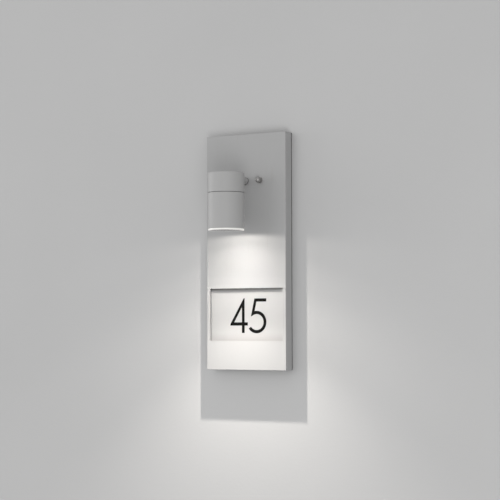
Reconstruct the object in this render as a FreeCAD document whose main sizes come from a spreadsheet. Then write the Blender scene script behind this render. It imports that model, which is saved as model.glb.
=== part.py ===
import FreeCAD, Part
import Sketcher
import math
import os
import re

# A wall light with a house number, in millimetres. X runs along the wall to the right, Y into the wall and
# Z up. The origin is on the wall plane, at the middle of the housing's height and width. "Ahead" is the
# distance out from the wall, along -Y.

SIZES = {
    # Housing: an aluminium box, open at the back, with a window near its foot
    "housing_width": 140.0,
    "housing_height": 360.0,
    "housing_depth": 18.0,
    "housing_wall": 2.0,
    "corner_radius": 1.2,
    "edge_radius": 0.6,
    "window_side": 5.5,
    "window_height": 80.0,
    "window_foot": 44.5,
    "drain_diameter": 4.0,
    "drain_side": 25.0,
    # Gasket between the housing's rim and the wall
    "wall_gap": 2.0,
    "gasket_inset": 0.3,
    "gasket_width": 6.0,
    # Number plate behind the window, its seal and its clips
    "number_plate_thickness": 3.0,
    "number_plate_lap": 3.0,
    "plate_seal_thickness": 2.0,
    "plate_seal_setback": 0.4,
    "post_diameter": 7.0,
    "post_gap": 1.5,
    "post_side": 17.5,
    "clip_width": 12.0,
    "clip_lap": 4.0,
    "clip_thickness": 1.0,
    "clip_screw_length": 4.6,
    # Small pan screws, which hold the clips, the lamp holder and the terminal block
    "screw_diameter": 3.0,
    "screw_head_diameter": 5.6,
    "screw_head_height": 1.9,
    "screw_slot_width": 0.8,
    "screw_slot_depth": 0.9,
    "screw_fit": 0.05,
    # Studs, lock nuts, washers and cap nuts that hold the housing to the wall plate
    "stud_spacing": 50.0,
    "stud_diameter": 5.0,
    "stud_fit": 0.05,
    "stud_hole_clearance": 0.3,
    "stud_boss_wall": 2.2,
    "lock_nut_flats": 8.0,
    "lock_nut_height": 3.0,
    "lock_nut_gap": 0.3,
    "nut_washer_diameter": 10.0,
    "nut_washer_thickness": 1.0,
    "cap_nut_flats": 8.0,
    "cap_nut_hex_height": 4.6,
    "cap_nut_dome_radius": 3.7,
    "cap_nut_tip_diameter": 1.2,
    "cap_nut_gap": 0.2,
    "cap_nut_bore_depth": 6.6,
    "cap_nut_clearance": 0.15,
    "stud_reach": 6.0,
    # Arm: a hollow rod with a threaded end in the housing and another in the cap
    "arm_drop": 71.5,
    "arm_reach": 57.0,
    "arm_diameter": 10.0,
    "arm_thread_diameter": 8.0,
    "arm_bore": 5.0,
    "arm_thread_tail": 2.0,
    "arm_fit": 0.05,
    "arm_seat_depth": 3.0,
    "arm_seal_diameter": 10.4,
    "arm_seal_thickness": 0.8,
    "arm_washer_diameter": 15.0,
    "arm_washer_thickness": 1.0,
    "arm_nut_flats": 13.0,
    "arm_nut_height": 4.0,
    # Spot: the cap that the arm carries
    "cap_rise": 7.5,
    "cap_height": 29.5,
    "cap_wall": 3.0,
    "cap_edge_radius": 0.9,
    "spigot_length": 8.0,
    "spigot_wall": 2.0,
    "boss_width": 16.0,
    "boss_foot": 8.0,
    "boss_gap": 1.6,
    "grub_screw_diameter": 3.0,
    "grub_screw_length": 3.8,
    "grub_socket_diameter": 1.5,
    # Spot: the seal in the joint and the sleeve below it
    "joint_gap": 0.8,
    "sleeve_seal_thickness": 0.5,
    "sleeve_seal_width": 1.1,
    "sleeve_wall": 1.6,
    "sleeve_clearance": 0.3,
    "sleeve_edge_radius": 0.4,
    "lip_height": 2.0,
    "lip_width": 1.6,
    # Front glass: a disc whose brim shows below the sleeve, and whose neck goes up through the sleeve's lip
    "glass_gap": 5.0,
    "glass_neck_length": 4.8,
    "glass_brim_thickness": 2.2,
    "glass_brim_setback": 0.6,
    "glass_edge_radius": 0.4,
    "glass_clearance": 0.2,
    "glass_gasket_thickness": 0.4,
    "glass_gasket_setback": 0.4,
    "ring_thickness": 0.8,
    "ring_clearance": 0.3,
    "ring_fit": 0.05,
    # Lamp holder and its bayonet
    "holder_drop": 12.5,
    "holder_diameter": 26.0,
    "holder_height": 14.0,
    "holder_post_diameter": 6.2,
    "holder_screw_setback": 3.3,
    "holder_screw_angle": 45.0,
    "holder_screw_length": 15.0,
    "holder_counterbore_depth": 4.0,
    "head_clearance": 0.3,
    "bayonet_turn": 45.0,
    "bayonet_floor": 3.0,
    "bayonet_room": 4.0,
    "bayonet_clearance": 0.35,
    "bayonet_relief": 0.1,
    # Lamp: a reflector lamp with two headed pins
    "pin_spacing": 10.0,
    "pin_neck_diameter": 3.0,
    "pin_neck_length": 4.0,
    "pin_head_diameter": 5.0,
    "pin_head_height": 2.6,
    "lamp_gap": 0.4,
    "lamp_side_gap": 1.1,
    "lamp_diameter": 49.6,
    "lamp_length": 47.4,
    "lamp_neck_diameter": 24.0,
    "lamp_neck_length": 11.0,
    "lamp_bowl_radius": 46.0,
    "lamp_rim_height": 5.0,
    "lens_rim": 3.3,
    "lens_thickness": 1.8,
    "lens_setback": 0.6,
    "lens_fit": 0.05,
    # Wall plate with folded sides
    "plate_thickness": 1.5,
    "plate_side": 12.0,
    "plate_end": 15.0,
    "plate_corner_radius": 6.0,
    "flange_height": 5.5,
    "flange_end": 22.0,
    "slot_length": 12.0,
    "slot_width": 5.2,
    "slot_side": 18.0,
    "slot_end": 20.0,
    # Cable inlet and its grommet
    "inlet_diameter": 20.0,
    "inlet_drop": 24.0,
    "grommet_fit": 0.05,
    "grommet_bore": 9.0,
    "grommet_flange_diameter": 25.0,
    "grommet_flange_thickness": 1.5,
    "grommet_length": 7.0,
    "grommet_nose_wall": 3.5,
    "grommet_lip": 1.0,
    # Terminal block and its screws
    "terminal_drop": 63.5,
    "terminal_width": 34.0,
    "terminal_height": 18.0,
    "terminal_depth": 12.0,
    "pole_pitch": 11.0,
    "wire_hole_diameter": 3.2,
    "wire_height": 5.5,
    "terminal_notch_width": 2.0,
    "terminal_notch_depth": 3.0,
    "well_diameter": 4.4,
    "well_depth": 5.0,
    "well_spacing": 9.0,
    "terminal_screw_diameter": 4.0,
    "terminal_screw_height": 3.6,
    "block_screw_head_setback": 0.2,
    # Earth screw and its washer
    "earth_side": 20.0,
    "earth_screw_diameter": 4.0,
    "earth_head_diameter": 8.0,
    "earth_head_height": 2.6,
    "earth_washer_diameter": 10.0,
    "earth_washer_thickness": 0.8,
    "earth_screw_setback": 0.2,
    # Leads from the lamp holder to the terminal block
    "lead_diameter": 1.9,
    "lead_spacing": 2.2,
    "lead_exit": 6.0,
    "lead_bend_radius": 4.0,
    "lead_spread_drop": 20.5,
    "lead_spread_rise": 14.0,
    "lead_gap": 0.3,
    # How far a cut runs past the face that it opens, and how close two places are when they count as one
    "overrun": 1.0,
    "same_place": 0.1,
}

# Lengths that follow from the sizes, each worked out in one place
WORKED_OUT = {
    "front": "(wall_gap + housing_depth)",
    "front_inside": "(front - housing_wall)",
    "top": "(housing_height / 2)",
    "arm_height": "(top - arm_drop)",
    "window_width": "(housing_width - 2 * window_side)",
    "window_middle": "(window_foot + window_height / 2 - top)",
    "drain_spacing": "(housing_width - 2 * drain_side)",
    "plate_front": "(front_inside - plate_seal_thickness)",
    "plate_back": "(plate_front - number_plate_thickness)",
    "number_plate_width": "(window_width + 2 * number_plate_lap)",
    "number_plate_height": "(window_height + 2 * number_plate_lap)",
    "post_spacing": "(number_plate_width - 2 * post_side)",
    "post_rise": "(number_plate_height / 2 + post_gap + post_diameter / 2)",
    "stud_tip": "(front + nut_washer_thickness + stud_reach)",
    "nut_seat": "(front + nut_washer_thickness + cap_nut_gap)",
    "boss_back": "(plate_thickness + lock_nut_height + lock_nut_gap)",
    "spot_ahead": "(front + arm_reach)",
    "cap_top": "(arm_height + cap_rise)",
    "sleeve_bore_radius": "(lamp_diameter / 2 + lamp_side_gap)",
    "spot_radius": "(sleeve_bore_radius + sleeve_wall)",
    "spigot_radius": "(sleeve_bore_radius - sleeve_clearance)",
    "cap_inner_radius": "(spigot_radius - spigot_wall)",
    "boss_end_radius": "(holder_diameter / 2 + boss_gap)",
    "boss_length": "(cap_inner_radius - boss_end_radius)",
    "arm_seat_radius": "(spot_radius - arm_seat_depth)",
    "boss_low": "(cap_rise + boss_foot)",
    "holder_foot": "(holder_drop + holder_height)",
    "holder_screw_radius": "(holder_diameter / 2 - holder_screw_setback)",
    "floor_top": "(holder_foot - bayonet_floor)",
    "lamp_top": "(holder_foot + lamp_gap)",
    "lamp_front": "(lamp_top + lamp_length)",
    "lens_diameter": "(lamp_diameter - 2 * lens_rim)",
    "lens_front": "(lamp_front - lens_setback)",
    "lens_back": "(lens_front - lens_thickness)",
    "pin_radius": "(pin_spacing / 2)",
    "sleeve_top": "(cap_height + joint_gap)",
    "glass_top": "(lamp_front + glass_gap)",
    "brim_top": "(glass_top + glass_neck_length)",
    "brim_foot": "(brim_top + glass_brim_thickness)",
    "sleeve_foot": "(brim_top - glass_gasket_thickness)",
    "lip_top": "(sleeve_foot - lip_height)",
    "lip_radius": "(sleeve_bore_radius - lip_width)",
    "glass_neck_radius": "(lip_radius - glass_clearance)",
    "glass_brim_radius": "(spot_radius - glass_brim_setback)",
    "plate_width": "(housing_width - 2 * plate_side)",
    "plate_height": "(housing_height - 2 * plate_end)",
    "flange_length": "(plate_height - 2 * flange_end)",
    "slot_spacing": "(plate_width - 2 * slot_side)",
    "slot_rise": "(plate_height - 2 * slot_end)",
    "terminal_rise": "(arm_height - terminal_drop)",
    "terminal_top": "(terminal_rise + terminal_height / 2)",
    "terminal_front": "(plate_thickness + terminal_depth)",
    "earth_offset": "(plate_width / 2 - earth_side)",
    "earth_seat": "(plate_thickness + earth_washer_thickness)",
}

ORIGIN = FreeCAD.Vector(0, 0, 0)
ALONG_X = FreeCAD.Vector(1, 0, 0)
ALONG_Z = FreeCAD.Vector(0, 0, 1)

# Each way that a piece's own axis can point
UP = ALONG_Z
DOWN = FreeCAD.Vector(0, 0, -1)
AHEAD = FreeCAD.Vector(0, -1, 0)
BACK = FreeCAD.Vector(0, 1, 0)

WORD = re.compile(r"[a-z][a-z_]+")
HALF_SHARE = 0.5

doc = FreeCAD.newDocument("wall_light")
sheet = doc.addObject("Spreadsheet::Sheet", "sizes")
nodes = []


def fill_sheet():
    """Writes each size into a cell of the sheet and names the cell after it."""
    for row, (name, size) in enumerate(SIZES.items(), start=1):
        sheet.set("A%d" % row, name)
        sheet.set("B%d" % row, str(size))
        sheet.setAlias("B%d" % row, name)
    doc.recompute()


def bound(text):
    """An expression on the sheet's cells, from one on the names of sizes and worked-out lengths."""
    def full(found):
        word = found[0]
        if word in WORKED_OUT:
            return bound(WORKED_OUT[word])
        return "sizes." + word if word in SIZES else word
    return WORD.sub(full, text)


def value(text):
    """The number that an expression comes to."""
    return float(sheet.evalExpression(bound(text)))


def keep(piece, label):
    """Labels a finished sub-part and puts it on the list of those that are written out."""
    piece.Label = label
    nodes.append(piece)
    return piece


def place(piece, way, x, ahead, z):
    """Points a piece's own axis a way, and binds its place to the sizes."""
    piece.Placement = FreeCAD.Placement(ORIGIN, FreeCAD.Rotation(ALONG_Z, way))
    piece.setExpression("Placement.Base.x", bound(x))
    piece.setExpression("Placement.Base.y", bound("-(%s)" % ahead))
    piece.setExpression("Placement.Base.z", bound(z))


def add_body(name, way=UP, x="0", ahead="0", z="0"):
    """An empty body, whose own axis points a way, placed by the sizes."""
    body = doc.addObject("PartDesign::Body", name)
    place(body, way, x, ahead, z)
    return body


def add_spot_body(name):
    """A body whose own origin is the middle of the cap's top."""
    return add_body(name, UP, "0", "spot_ahead", "cap_top")


def add_sketch(body, role, offset="0"):
    """A sketch on one of the body's origin planes, moved along the plane's normal."""
    sketch = body.newObject("Sketcher::SketchObject", body.Name + "_sketch")
    plane = next(item for item in body.Origin.OriginFeatures if item.Role == role)
    sketch.AttachmentSupport = [(plane, "")]
    sketch.MapMode = "FlatFace"
    sketch.setExpression("AttachmentOffset.Base.z", bound(offset))
    return sketch


def hold_point(sketch, line, end, x, y):
    """Holds one end of a line, or the centre of a circle, at a place given by the sizes."""
    for kind, text in (("DistanceX", x), ("DistanceY", y)):
        number = sketch.addConstraint(Sketcher.Constraint(kind, line, end, value(text)))
        sketch.setExpression("Constraints[%d]" % number, bound(text))


def hold_radius(sketch, line, radius):
    """Holds the radius of a circle or an arc."""
    number = sketch.addConstraint(Sketcher.Constraint("Radius", line, value(radius)))
    sketch.setExpression("Constraints[%d]" % number, bound(radius))


def arc_between(start, end, radius):
    """The short arc from start to end, bulging to the left of the way between them."""
    chord = end - start
    reach = math.sqrt(radius ** 2 - (chord.Length / 2) ** 2)
    middle = (start + end) * 0.5
    right = FreeCAD.Vector(chord.y, -chord.x, 0).normalize()
    centre = middle + right * reach
    first = math.atan2(end.y - centre.y, end.x - centre.x)
    last = math.atan2(start.y - centre.y, start.x - centre.x)
    return Part.ArcOfCircle(Part.Circle(centre, ALONG_Z, radius), first, last)


def draw_outline(sketch, corners):
    """Draws a closed outline through corners held by the sizes. A corner's third value, if it has one, is
    the radius of an arc to the next corner, which bulges to the left of the way there."""
    spots = [FreeCAD.Vector(value(corner[0]), value(corner[1]), 0) for corner in corners]
    first = sketch.GeometryCount
    count = len(corners)
    starts, ends = [], []
    for index, corner in enumerate(corners):
        start, end = spots[index], spots[(index + 1) % count]
        if len(corner) > 2:
            sketch.addGeometry(arc_between(start, end, value(corner[2])))
            hold_radius(sketch, first + index, corner[2])
            starts.append(2)
            ends.append(1)
        else:
            sketch.addGeometry(Part.LineSegment(start, end))
            starts.append(1)
            ends.append(2)
    for index, corner in enumerate(corners):
        following = (index + 1) % count
        sketch.addConstraint(Sketcher.Constraint(
            "Coincident", first + index, ends[index], first + following, starts[following]))
        hold_point(sketch, first + index, starts[index], corner[0], corner[1])


def draw_box(sketch, width, height, x="0", y="0"):
    """Draws a rectangle about a middle point."""
    left, right = "%s - (%s) / 2" % (x, width), "%s + (%s) / 2" % (x, width)
    low, high = "%s - (%s) / 2" % (y, height), "%s + (%s) / 2" % (y, height)
    draw_outline(sketch, [(left, low), (right, low), (right, high), (left, high)])


def draw_circle(sketch, radius, x="0", y="0"):
    """Draws a circle about a middle point."""
    centre = FreeCAD.Vector(value(x), value(y), 0)
    line = sketch.addGeometry(Part.Circle(centre, ALONG_Z, value(radius)))
    hold_point(sketch, line, 3, x, y)
    hold_radius(sketch, line, radius)


def draw_hexagon(sketch, flats):
    """Draws a hexagon about the sketch's origin, by its size across flats."""
    side, tip, half = "%s / 2" % flats, "%s / sqrt(3)" % flats, "%s / sqrt(12)" % flats
    draw_outline(sketch, [(side, "-" + half), (side, half), ("0", tip),
                          ("-" + side, half), ("-" + side, "-" + half), ("0", "-" + tip)])


def add_feature(sketch, kind, **links):
    """Adds a feature of a kind to the sketch's body and makes it the body's last."""
    body = sketch.getParentGeoFeatureGroup()
    feature = body.newObject("PartDesign::" + kind, body.Name + "_" + kind.lower())
    feature.Profile = sketch
    for name, link in links.items():
        setattr(feature, name, link)
    return feature


def pad(sketch, length, backwards=False):
    """Adds the sketch's shape along the normal of its plane, or backwards from it."""
    feature = add_feature(sketch, "Pad", Reversed=backwards)
    feature.setExpression("Length", bound(length))
    return feature


def cut(sketch, length, along=False):
    """Cuts the sketch's shape against the normal of its plane, or along it."""
    feature = add_feature(sketch, "Pocket", Reversed=along)
    feature.setExpression("Length", bound(length))
    return feature


def turn_about_height(sketch):
    """Revolves the sketch's shape about its vertical axis."""
    return add_feature(sketch, "Revolution", ReferenceAxis=(sketch, ["V_Axis"]))


def round_edges(feature, radius, chosen):
    """Rounds the edges of the body's last shape for which chosen(edge) holds."""
    doc.recompute()
    names = ["Edge%d" % number for number, edge in enumerate(feature.Shape.Edges, start=1) if chosen(edge)]
    body = feature.getParentGeoFeatureGroup()
    rounded = body.newObject("PartDesign::Fillet", body.Name + "_fillet")
    rounded.Base = (feature, names)
    rounded.setExpression("Radius", bound(radius))
    return rounded


def runs_ahead(edge):
    """Whether an edge runs straight out from the wall."""
    return abs(edge.tangentAt(edge.FirstParameter).y) > HALF_SHARE


def same_place(one, other):
    """Whether two places count as one."""
    return abs(one - other) < value("same_place")


def is_circle(edge, radius, height):
    """Whether an edge of a spot body is a circle of a radius at a height."""
    if not hasattr(edge.Curve, "Radius"):
        return False
    at_height = same_place(edge.Curve.Center.z + value("cap_top"), height)
    return same_place(edge.Curve.Radius, radius) and at_height


def turned(name, body, corners):
    """A piece turned about its body's own axis, from an outline of radius and height."""
    sketch = add_sketch(body, "XZ_Plane")
    draw_outline(sketch, corners)
    turn_about_height(sketch)
    return keep(body, name)


def ring_outline(inner, outer, low, high):
    """The outline of a plain ring."""
    return [(inner, low), (outer, low), (outer, high), (inner, high)]


def group(label, members):
    """Separate solids that share one node."""
    together = doc.addObject("Part::Compound", label)
    together.Links = members
    return keep(together, label)


def mirror(piece, normal=ALONG_X, height="0"):
    """The piece's mirror image, across the middle of the housing or a level plane."""
    image = doc.addObject("Part::Mirroring", piece.Name + "_image")
    image.Source = piece
    image.Normal = normal
    image.setExpression("Base.z", bound(height))
    return image


def add_screw(body, diameter, length, head_diameter, head_height):
    """A slotted pan screw, seated at its body's origin with its head towards the axis's far end."""
    shank, head = diameter + " / 2", head_diameter + " / 2"
    sketch = add_sketch(body, "XZ_Plane")
    draw_outline(sketch, [("0", "-(%s)" % length), (shank, "-(%s)" % length), (shank, "0"),
                          (head, "0"), (head, head_height), ("0", head_height)])
    turn_about_height(sketch)
    slot = add_sketch(body, "XY_Plane", head_height)
    draw_box(slot, head_diameter + " + overrun", "screw_slot_width")
    cut(slot, "screw_slot_depth")
    return body


def add_hexagon_nut(body, flats, height, bore):
    """A plain hexagon nut, seated at its body's origin."""
    sketch = add_sketch(body, "XY_Plane")
    draw_hexagon(sketch, flats)
    draw_circle(sketch, bore + " / 2")
    pad(sketch, height)
    return body


def make_housing():
    """The box, with its window and holes, the bosses that meet the lock nuts and the posts for the clips."""
    body = add_body("housing")
    face = add_sketch(body, "XZ_Plane", "wall_gap")
    draw_box(face, "housing_width", "housing_height")
    box = pad(face, "housing_depth")
    corners = round_edges(box, "corner_radius", runs_ahead)
    plane = -value("front")
    round_edges(corners, "edge_radius", lambda edge: same_place(edge.BoundBox.YMax, plane))

    room = add_sketch(body, "XZ_Plane", "wall_gap")
    draw_box(room, "housing_width - 2 * housing_wall", "housing_height - 2 * housing_wall")
    cut(room, "housing_depth - housing_wall", along=True)

    inside = add_sketch(body, "XZ_Plane", "front_inside")
    for side in ("-", ""):
        draw_circle(inside, "stud_diameter / 2 + stud_hole_clearance + stud_boss_wall",
                    side + "stud_spacing / 2", "arm_height")
    pad(inside, "front_inside - boss_back", backwards=True)

    posts = add_sketch(body, "XZ_Plane", "front_inside")
    draw_posts(posts, "post_diameter / 2")
    pad(posts, "front_inside - plate_back", backwards=True)

    window = add_sketch(body, "XZ_Plane", "front + overrun")
    draw_box(window, "window_width", "window_height", "0", "window_middle")
    cut(window, "housing_wall + 2 * overrun")

    through = add_sketch(body, "XZ_Plane", "front + overrun")
    draw_circle(through, "arm_thread_diameter / 2 + arm_fit", "0", "arm_height")
    for side in ("-", ""):
        draw_circle(through, "stud_diameter / 2 + stud_hole_clearance",
                    side + "stud_spacing / 2", "arm_height")
    cut(through, "front + overrun")

    threads = add_sketch(body, "XZ_Plane", "plate_back")
    draw_posts(threads, "screw_diameter / 2 + screw_fit")
    cut(threads, "clip_screw_length", along=True)

    drains = add_sketch(body, "XY_Plane", "-top - overrun")
    for side in ("-", ""):
        draw_circle(drains, "drain_diameter / 2",
                    side + "drain_spacing / 2", "-(wall_gap + housing_depth / 2)")
    cut(drains, "housing_wall + 2 * overrun", along=True)
    return keep(body, "housing")


def draw_posts(sketch, radius):
    """Draws a circle at each of the four clip posts."""
    for side in ("-", ""):
        for level in ("-", "+"):
            draw_circle(sketch, radius, side + "post_spacing / 2", "window_middle %s post_rise" % level)


def make_wall_gasket():
    """The foam frame that the housing's rim presses on the wall."""
    body = add_body("wall_gasket")
    frame = add_sketch(body, "XZ_Plane")
    width, height = "housing_width - 2 * gasket_inset", "housing_height - 2 * gasket_inset"
    draw_box(frame, width, height)
    draw_box(frame, width + " - 2 * gasket_width", height + " - 2 * gasket_width")
    pad(frame, "wall_gap")
    return keep(body, "wall_gasket")


def make_number_plate():
    """The opal plate that carries the house number, and the foam seal between it and the window's edge."""
    plate = add_body("number_plate")
    sheet_outline = add_sketch(plate, "XZ_Plane", "plate_back")
    draw_box(sheet_outline, "number_plate_width", "number_plate_height", "0", "window_middle")
    pad(sheet_outline, "number_plate_thickness")
    keep(plate, "number_plate")

    seal = add_body("plate_seal")
    frame = add_sketch(seal, "XZ_Plane", "plate_front")
    draw_box(frame, "number_plate_width", "number_plate_height", "0", "window_middle")
    draw_box(frame, "window_width + 2 * plate_seal_setback", "window_height + 2 * plate_seal_setback",
             "0", "window_middle")
    pad(frame, "plate_seal_thickness")
    keep(seal, "plate_seal")


def make_clips():
    """Four flat clips on the posts, which press the number plate on its seal, and their screws."""
    clip = add_body("clip")
    outline = add_sketch(clip, "XZ_Plane", "plate_back - clip_thickness")
    low = "window_middle + number_plate_height / 2 - clip_lap"
    high = "window_middle + post_rise + post_diameter / 2"
    left, right = "post_spacing / 2 - clip_width / 2", "post_spacing / 2 + clip_width / 2"
    draw_outline(outline, [(left, low), (right, low), (right, high), (left, high)])
    draw_circle(outline, "screw_diameter / 2 + screw_fit", "post_spacing / 2", "window_middle + post_rise")
    pad(outline, "clip_thickness")
    group("plate_clips", four_of(clip))

    screw = add_body("clip_screw", BACK, "post_spacing / 2", "plate_back - clip_thickness",
                     "window_middle + post_rise")
    add_screw(screw, "screw_diameter", "clip_screw_length", "screw_head_diameter", "screw_head_height")
    group("clip_screws", four_of(screw))


def four_of(piece):
    """The piece with its images across the housing's middle and across the window's middle."""
    image = mirror(piece)
    below = [mirror(upper, ALONG_Z, "window_middle") for upper in (piece, image)]
    return [piece, image] + below


def make_studs():
    """Two studs fixed in the wall plate with lock nuts, and washers and cap nuts on the housing's face."""
    stud = add_body("stud", AHEAD, "stud_spacing / 2", "0", "arm_height")
    sketch = add_sketch(stud, "XY_Plane")
    draw_circle(sketch, "stud_diameter / 2")
    pad(sketch, "stud_tip")
    group("mounting_studs", [stud, mirror(stud)])

    lock_nut = add_body("lock_nut", AHEAD, "stud_spacing / 2", "plate_thickness", "arm_height")
    add_hexagon_nut(lock_nut, "lock_nut_flats", "lock_nut_height", "(stud_diameter + 2 * stud_fit)")
    group("stud_lock_nuts", [lock_nut, mirror(lock_nut)])

    washer = add_body("nut_washer", AHEAD, "stud_spacing / 2", "front", "arm_height")
    ring = add_sketch(washer, "XY_Plane")
    draw_circle(ring, "nut_washer_diameter / 2")
    draw_circle(ring, "stud_diameter / 2 + stud_hole_clearance")
    pad(ring, "nut_washer_thickness")
    group("nut_washers", [washer, mirror(washer)])

    make_cap_nut("cap_nut_right", "stud_spacing / 2")
    make_cap_nut("cap_nut_left", "-stud_spacing / 2")


def make_cap_nut(name, x):
    """A domed nut with a blind bore."""
    nut = add_body(name, AHEAD, x, "nut_seat", "arm_height")
    hexagon = add_sketch(nut, "XY_Plane")
    draw_hexagon(hexagon, "cap_nut_flats")
    pad(hexagon, "cap_nut_hex_height")
    dome = add_sketch(nut, "XZ_Plane")
    summit = "cap_nut_hex_height + cap_nut_dome_radius"
    draw_outline(dome, [("0", "cap_nut_hex_height"), ("0", summit),
                        ("cap_nut_tip_diameter / 2", summit, "cap_nut_dome_radius"),
                        ("cap_nut_dome_radius", "cap_nut_hex_height")])
    turn_about_height(dome)
    bore = add_sketch(nut, "XY_Plane", "-overrun")
    draw_circle(bore, "stud_diameter / 2 + cap_nut_clearance")
    cut(bore, "cap_nut_bore_depth + overrun", along=True)
    keep(nut, name)


def make_arm():
    """The hollow arm, its seal on the housing's face, and its washer and nut inside."""
    arm = add_body("arm", AHEAD, "0", "0", "arm_height")
    bore, thread, rod = "arm_bore / 2", "arm_thread_diameter / 2", "arm_diameter / 2"
    back = "front_inside - arm_washer_thickness - arm_nut_height - arm_thread_tail"
    shoulder = "front + arm_seal_thickness"
    seat = "spot_ahead - arm_seat_radius"
    tip = "spot_ahead - boss_end_radius"
    turned("arm", arm, [(bore, back), (thread, back), (thread, shoulder), (rod, shoulder),
                        (rod, seat), (thread, seat), (thread, tip), (bore, tip)])

    hole = "arm_thread_diameter / 2 + arm_fit"
    seal = add_body("arm_seal", AHEAD, "0", "front", "arm_height")
    turned("arm_seal", seal, ring_outline(hole, "arm_seal_diameter / 2", "0", "arm_seal_thickness"))
    washer = add_body("arm_lock_washer", BACK, "0", "front_inside", "arm_height")
    turned("arm_lock_washer", washer,
           ring_outline(hole, "arm_washer_diameter / 2", "0", "arm_washer_thickness"))
    nut = add_body("arm_nut", BACK, "0", "front_inside - arm_washer_thickness", "arm_height")
    keep(add_hexagon_nut(nut, "arm_nut_flats", "arm_nut_height", "(arm_thread_diameter + 2 * arm_fit)"),
         "arm_nut")


def make_spot_cap():
    """The turned cap, with the boss that takes the arm and two posts for the lamp holder."""
    body = add_spot_body("spot_cap")
    cup = add_sketch(body, "XZ_Plane")
    low = "-(cap_height + spigot_length)"
    draw_outline(cup, [("0", "0"), ("spot_radius", "0"), ("spot_radius", "-cap_height"),
                       ("spigot_radius", "-cap_height"), ("spigot_radius", low), ("cap_inner_radius", low),
                       ("cap_inner_radius", "-cap_wall"), ("0", "-cap_wall")])
    shell = turn_about_height(cup)
    rim = value("spot_radius")
    round_edges(shell, "cap_edge_radius", lambda edge: is_circle(edge, rim, value("cap_top")))

    boss = add_sketch(body, "XZ_Plane", "-(cap_inner_radius + overrun)")
    draw_outline(boss, [("-boss_width / 2", "-boss_low"), ("boss_width / 2", "-boss_low"),
                        ("boss_width / 2", "-cap_wall / 2"), ("-boss_width / 2", "-cap_wall / 2")])
    pad(boss, "boss_length + overrun")

    posts = add_sketch(body, "XY_Plane", "-cap_wall")
    draw_holder_screws(posts, "holder_post_diameter / 2")
    pad(posts, "holder_drop - cap_wall", backwards=True)

    bore = add_sketch(body, "XZ_Plane", "-(boss_end_radius - overrun)")
    draw_circle(bore, "arm_thread_diameter / 2 + arm_fit", "0", "-cap_rise")
    cut(bore, "spot_radius - boss_end_radius + 2 * overrun")
    seat = add_sketch(body, "XZ_Plane", "-arm_seat_radius")
    draw_circle(seat, "arm_diameter / 2 + arm_fit", "0", "-cap_rise")
    cut(seat, "arm_seat_depth + overrun")

    threads = add_sketch(body, "XY_Plane", "-holder_drop")
    draw_holder_screws(threads, "screw_diameter / 2 + screw_fit")
    cut(threads, "holder_screw_length - holder_height + holder_counterbore_depth + overrun / 2", along=True)

    grub = add_sketch(body, "XY_Plane", "-boss_low")
    draw_circle(grub, "grub_screw_diameter / 2 + screw_fit", "0", "boss_end_radius + boss_length / 2")
    cut(grub, "boss_foot", along=True)
    return keep(body, "spot_cap")


def draw_holder_screws(sketch, radius):
    """Draws a circle at each of the lamp holder's two screws."""
    x = "holder_screw_radius * cos(holder_screw_angle)"
    y = "holder_screw_radius * sin(holder_screw_angle)"
    draw_circle(sketch, radius, x, y)
    draw_circle(sketch, radius, "-" + x, "-" + y)


def make_grub_screw():
    """The grub screw that locks the arm in the cap's boss."""
    body = add_body("arm_grub_screw", UP, "0", "spot_ahead - boss_end_radius - boss_length / 2",
                    "arm_height - arm_thread_diameter / 2 - grub_screw_length")
    sketch = add_sketch(body, "XY_Plane")
    draw_circle(sketch, "grub_screw_diameter / 2")
    pad(sketch, "grub_screw_length")
    socket = add_sketch(body, "XY_Plane")
    draw_hexagon(socket, "grub_socket_diameter")
    cut(socket, "grub_screw_length / 2", along=True)
    return keep(body, "arm_grub_screw")


def make_sleeve():
    """The seal in the joint under the cap, and the sleeve with its glass, gasket and ring. The glass goes
    up through the sleeve's lip, and the ring, pushed down over its neck, holds it there."""
    turned("sleeve_seal", add_spot_body("sleeve_seal"), ring_outline(
        "spigot_radius", "spigot_radius + sleeve_seal_width",
        "-(cap_height + sleeve_seal_thickness)", "-cap_height"))

    sleeve = add_spot_body("sleeve")
    profile = add_sketch(sleeve, "XZ_Plane")
    draw_outline(profile, [
        ("sleeve_bore_radius", "-sleeve_top"), ("spot_radius", "-sleeve_top"),
        ("spot_radius", "-sleeve_foot"), ("lip_radius", "-sleeve_foot"), ("lip_radius", "-lip_top"),
        ("sleeve_bore_radius", "-lip_top")])
    tube = turn_about_height(profile)
    rim = value("spot_radius")
    foot = value("cap_top - sleeve_foot")
    round_edges(tube, "sleeve_edge_radius", lambda edge: is_circle(edge, rim, foot))
    keep(sleeve, "sleeve")

    turned("glass_gasket", add_spot_body("glass_gasket"), ring_outline(
        "lip_radius", "glass_brim_radius - glass_gasket_setback", "-brim_top", "-sleeve_foot"))
    turned("retaining_ring", add_spot_body("retaining_ring"), ring_outline(
        "glass_neck_radius + ring_fit", "sleeve_bore_radius - ring_clearance",
        "-lip_top", "-(lip_top - ring_thickness)"))

    glass = add_spot_body("front_glass")
    section = add_sketch(glass, "XZ_Plane")
    draw_outline(section, [
        ("0", "-brim_foot"), ("glass_brim_radius", "-brim_foot"), ("glass_brim_radius", "-brim_top"),
        ("glass_neck_radius", "-brim_top"), ("glass_neck_radius", "-glass_top"), ("0", "-glass_top")])
    disc = turn_about_height(section)
    brim, low = value("glass_brim_radius"), value("cap_top - brim_foot")
    round_edges(disc, "glass_edge_radius", lambda edge: is_circle(edge, brim, low))
    keep(glass, "front_glass")


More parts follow.
